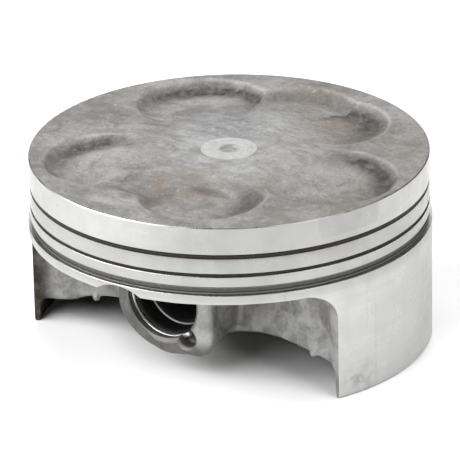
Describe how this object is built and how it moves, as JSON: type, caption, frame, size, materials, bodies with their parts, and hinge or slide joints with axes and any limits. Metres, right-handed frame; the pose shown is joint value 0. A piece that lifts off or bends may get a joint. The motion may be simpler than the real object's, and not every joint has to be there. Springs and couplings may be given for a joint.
{
  "type": "motorcycle piston",
  "caption": "Four-stroke motorcycle piston with slipper skirts, shallow valve pockets, ring pack in its grooves and a full-floating hollow wrist pin held by wire circlips.",
  "frame": {"origin": "centre of the plane that the feet of the two skirts stand on, on the cylinder axis", "axes": "+Z along the cylinder axis towards the crown, Y along the wrist pin axis with the front boss at -Y, +X towards the thrust side skirt (intake valve pockets)"},
  "size_m": [0.095, 0.0944, 0.0458],
  "materials": {
    "forged_aluminium": "turned and bright on the ring belt and skirts, matte forged inside, grey-brown combustion stain on the crown",
    "phosphated_steel": "matte dark",
    "rail_steel": "satin, oil stained",
    "coated_pin": "smooth black hard coating",
    "spring_wire": "bright drawn wire"
  },
  "bodies": {
    "piston": {"piston_body": "forged_aluminium", "circlip_front": "spring_wire", "circlip_rear": "spring_wire"},
    "top_ring": {"top_compression_ring": "phosphated_steel"},
    "second_ring": {"second_compression_ring": "phosphated_steel"},
    "upper_rail": {"oil_ring_upper_rail": "rail_steel"},
    "expander": {"oil_ring_expander": "rail_steel"},
    "lower_rail": {"oil_ring_lower_rail": "rail_steel"},
    "pin": {"wrist_pin": "coated_pin"}
  },
  "joints": [
    {"name": "top_ring_spin", "type": "hinge", "parent": "piston", "child": "top_ring", "pos_m": [0, 0, 0.03867], "axis": [0, 0, 1], "continuous": true},
    {"name": "second_ring_spin", "type": "hinge", "parent": "piston", "child": "second_ring", "pos_m": [0, 0, 0.03412], "axis": [0, 0, 1], "continuous": true},
    {"name": "upper_rail_spin", "type": "hinge", "parent": "piston", "child": "upper_rail", "pos_m": [0, 0, 0.03101], "axis": [0, 0, 1], "continuous": true},
    {"name": "expander_spin", "type": "hinge", "parent": "piston", "child": "expander", "pos_m": [0, 0, 0.03028], "axis": [0, 0, 1], "continuous": true},
    {"name": "lower_rail_spin", "type": "hinge", "parent": "piston", "child": "lower_rail", "pos_m": [0, 0, 0.02956], "axis": [0, 0, 1], "continuous": true},
    {"name": "pin_spin", "type": "hinge", "parent": "piston", "child": "pin", "pos_m": [0, 0, 0.01845], "axis": [0, 1, 0], "continuous": true}
  ]
}
